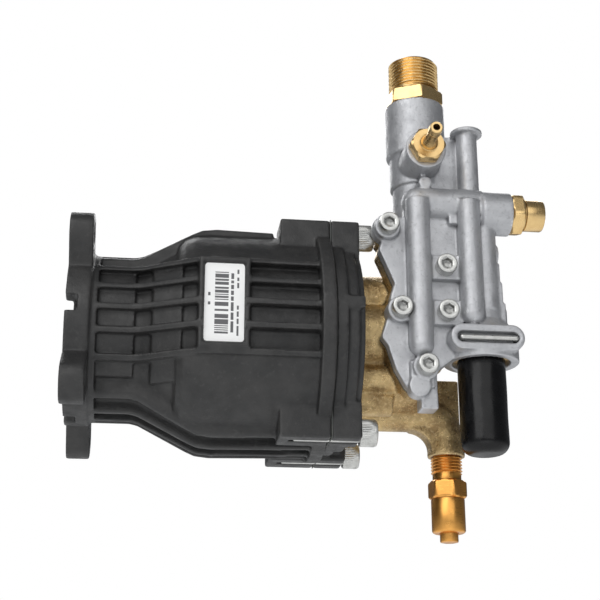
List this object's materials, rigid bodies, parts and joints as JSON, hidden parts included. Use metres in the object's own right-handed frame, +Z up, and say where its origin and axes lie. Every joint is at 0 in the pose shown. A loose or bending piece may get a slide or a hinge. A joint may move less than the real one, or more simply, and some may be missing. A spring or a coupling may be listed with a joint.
{
  "type": "pressure washer pump",
  "caption": "Axial-cam plunger pump: finned black gearcase with engine flange, brass head, side-mounted aluminium unloader manifold with brass outlet, injector, capped inlet and thermal valve.",
  "frame": {"origin": "centre of the hollow drive shaft's axis on the engine mounting face", "axes": "+X along the drive axis from the engine face to the pump head, +Z up (water outlet on top), -Y the side that carries the manifold"},
  "size_m": [0.1974, 0.112, 0.2108],
  "materials": {
    "cast_black": "satin die-cast",
    "sand_brass": "rough sand-cast with machined faces",
    "turned_brass": "machined",
    "orange_brass": "machined, tinted",
    "cast_aluminium": "cast, satin",
    "zinc_steel": "zinc plated",
    "tool_steel": "ground",
    "bearing_steel": "polished",
    "spring_steel": "drawn wire",
    "seal_rubber": "moulded",
    "vinyl_black": "dip-moulded gloss",
    "label_white": "printed film",
    "gasket_fibre": "fibre sheet",
    "acetal": "moulded",
    "screen_plastic": "moulded mesh"
  },
  "bodies": {
    "pump_body": {"gearcase_housing": "cast_black", "front_cover": "cast_black", "cover_gasket": "gasket_fibre", "cover_bolts": "zinc_steel", "label_plate": "label_white", "shaft_seal": "seal_rubber", "bearing_outer": "bearing_steel", "plunger_oil_seals": "seal_rubber", "water_seals": "seal_rubber", "seal_spacers": "acetal", "brass_head": "sand_brass", "head_gasket": "gasket_fibre", "head_bolts": "zinc_steel", "valve_seats": "tool_steel", "valve_springs": "spring_steel", "valve_plugs": "turned_brass", "manifold_gasket": "gasket_fibre", "unloader_manifold": "cast_aluminium", "manifold_screws": "zinc_steel", "outlet_fitting": "turned_brass", "outlet_seal": "seal_rubber", "injector_body": "turned_brass", "injector_spring": "spring_steel", "venturi_nozzle": "turned_brass", "unloader_spring": "spring_steel", "unloader_plug": "turned_brass", "thermal_valve": "orange_brass", "thermal_spring": "spring_steel", "plunger_spring_1": "spring_steel", "plunger_spring_2": "spring_steel", "plunger_spring_3": "spring_steel"},
    "shaft": {"drive_shaft": "tool_steel", "bearing_inner": "bearing_steel", "rotor_race": "bearing_steel"},
    "bearing_cage": {"bearing_balls": "bearing_steel"},
    "thrust_cage": {"thrust_balls": "bearing_steel"},
    "wobble_plate": {"wobble_race": "bearing_steel"},
    "plunger_unit_1": {"plunger_1": "tool_steel", "spring_retainer_1": "tool_steel"},
    "plunger_unit_2": {"plunger_2": "tool_steel", "spring_retainer_2": "tool_steel"},
    "plunger_unit_3": {"plunger_3": "tool_steel", "spring_retainer_3": "tool_steel"},
    "outlet_valve_1_poppet": {"outlet_valve_1": "acetal"},
    "outlet_valve_2_poppet": {"outlet_valve_2": "acetal"},
    "outlet_valve_3_poppet": {"outlet_valve_3": "acetal"},
    "inlet_valve_1_poppet": {"inlet_valve_1": "acetal"},
    "inlet_valve_2_poppet": {"inlet_valve_2": "acetal"},
    "inlet_valve_3_poppet": {"inlet_valve_3": "acetal"},
    "unloader_spool": {"unloader_piston": "tool_steel"},
    "injector_check": {"injector_ball": "bearing_steel"},
    "thermal_plug": {"thermal_element": "orange_brass"},
    "clip": {"retaining_clip": "zinc_steel"},
    "inlet_spigot": {"inlet_fitting": "turned_brass", "inlet_orings": "seal_rubber", "inlet_screen": "screen_plastic"},
    "cap": {"inlet_cap": "vinyl_black"}
  },
  "joints": [
    {"name": "shaft_spin", "type": "hinge", "parent": "pump_body", "child": "shaft", "pos_m": [0, 0, 0], "axis": [1, 0, 0], "continuous": true},
    {"name": "bearing_cage_spin", "type": "hinge", "parent": "pump_body", "child": "bearing_cage", "pos_m": [0.0285, 0, 0], "axis": [1, 0, 0], "continuous": true},
    {"name": "thrust_cage_spin", "type": "hinge", "parent": "shaft", "child": "thrust_cage", "pos_m": [0.06, 0, 0], "axis": [0.9816, 0, 0.1908], "continuous": true},
    {"name": "wobble_counter_spin", "type": "hinge", "parent": "shaft", "child": "wobble_plate", "pos_m": [0.06, 0, 0], "axis": [0.9816, 0, 0.1908], "continuous": true},
    {"name": "plunger_1_stroke", "type": "slide", "parent": "pump_body", "child": "plunger_unit_1", "axis": [1, 0, 0], "range_m": [0, 0.00777], "stiffness_N_per_m": 2500, "springref_m": -0.004, "deforming": ["plunger_spring_1"]},
    {"name": "plunger_2_stroke", "type": "slide", "parent": "pump_body", "child": "plunger_unit_2", "axis": [1, 0, 0], "range_m": [0, 0.00777], "stiffness_N_per_m": 2500, "springref_m": -0.004, "deforming": ["plunger_spring_2"]},
    {"name": "plunger_3_stroke", "type": "slide", "parent": "pump_body", "child": "plunger_unit_3", "axis": [1, 0, 0], "range_m": [0, 0.00777], "stiffness_N_per_m": 2500, "springref_m": -0.004, "deforming": ["plunger_spring_3"]},
    {"name": "outlet_valve_1_lift", "type": "slide", "parent": "pump_body", "child": "outlet_valve_1_poppet", "axis": [1, 0, 0], "range_m": [0, 0.0015], "stiffness_N_per_m": 150, "springref_m": -0.002, "deforming": ["valve_springs"]},
    {"name": "outlet_valve_2_lift", "type": "slide", "parent": "pump_body", "child": "outlet_valve_2_poppet", "axis": [1, 0, 0], "range_m": [0, 0.0015], "stiffness_N_per_m": 150, "springref_m": -0.002, "deforming": ["valve_springs"]},
    {"name": "outlet_valve_3_lift", "type": "slide", "parent": "pump_body", "child": "outlet_valve_3_poppet", "axis": [1, 0, 0], "range_m": [0, 0.0015], "stiffness_N_per_m": 150, "springref_m": -0.002, "deforming": ["valve_springs"]},
    {"name": "inlet_valve_1_lift", "type": "slide", "parent": "pump_body", "child": "inlet_valve_1_poppet", "axis": [1, 0, 0], "range_m": [0, 0.0015], "stiffness_N_per_m": 150, "springref_m": -0.002, "deforming": ["valve_springs"]},
    {"name": "inlet_valve_2_lift", "type": "slide", "parent": "pump_body", "child": "inlet_valve_2_poppet", "axis": [1, 0, 0], "range_m": [0, 0.0015], "stiffness_N_per_m": 150, "springref_m": -0.002, "deforming": ["valve_springs"]},
    {"name": "inlet_valve_3_lift", "type": "slide", "parent": "pump_body", "child": "inlet_valve_3_poppet", "axis": [1, 0, 0], "range_m": [0, 0.0015], "stiffness_N_per_m": 150, "springref_m": -0.002, "deforming": ["valve_springs"]},
    {"name": "unloader_shift", "type": "slide", "parent": "pump_body", "child": "unloader_spool", "axis": [1, 0, 0], "range_m": [0, 0.004], "stiffness_N_per_m": 900, "springref_m": -0.004, "deforming": ["unloader_spring"]},
    {"name": "injector_lift", "type": "slide", "parent": "pump_body", "child": "injector_check", "axis": [0, 1, 0], "range_m": [0, 0.0012], "stiffness_N_per_m": 40, "springref_m": -0.001, "deforming": ["injector_spring"]},
    {"name": "thermal_lift", "type": "slide", "parent": "pump_body", "child": "thermal_plug", "axis": [0, 0, 1], "range_m": [0, 0.002], "stiffness_N_per_m": 300, "springref_m": -0.003, "deforming": ["thermal_spring"]},
    {"name": "clip_pull", "type": "slide", "parent": "pump_body", "child": "clip", "axis": [0, -1, 0], "range_m": [0, 0.03]},
    {"name": "inlet_swivel", "type": "hinge", "parent": "pump_body", "child": "inlet_spigot", "pos_m": [0.1698, -0.026, 0], "axis": [0, 0, 1], "continuous": true},
    {"name": "cap_pull", "type": "slide", "parent": "inlet_spigot", "child": "cap", "axis": [0, 0, -1], "range_m": [0, 0.045]}
  ],
  "couplings": [
    {"joint": "bearing_cage_spin", "follows": "shaft_spin", "ratio": 0.4175},
    {"joint": "thrust_cage_spin", "follows": "shaft_spin", "ratio": -0.5},
    {"joint": "wobble_counter_spin", "follows": "shaft_spin", "ratio": -1}
  ]
}
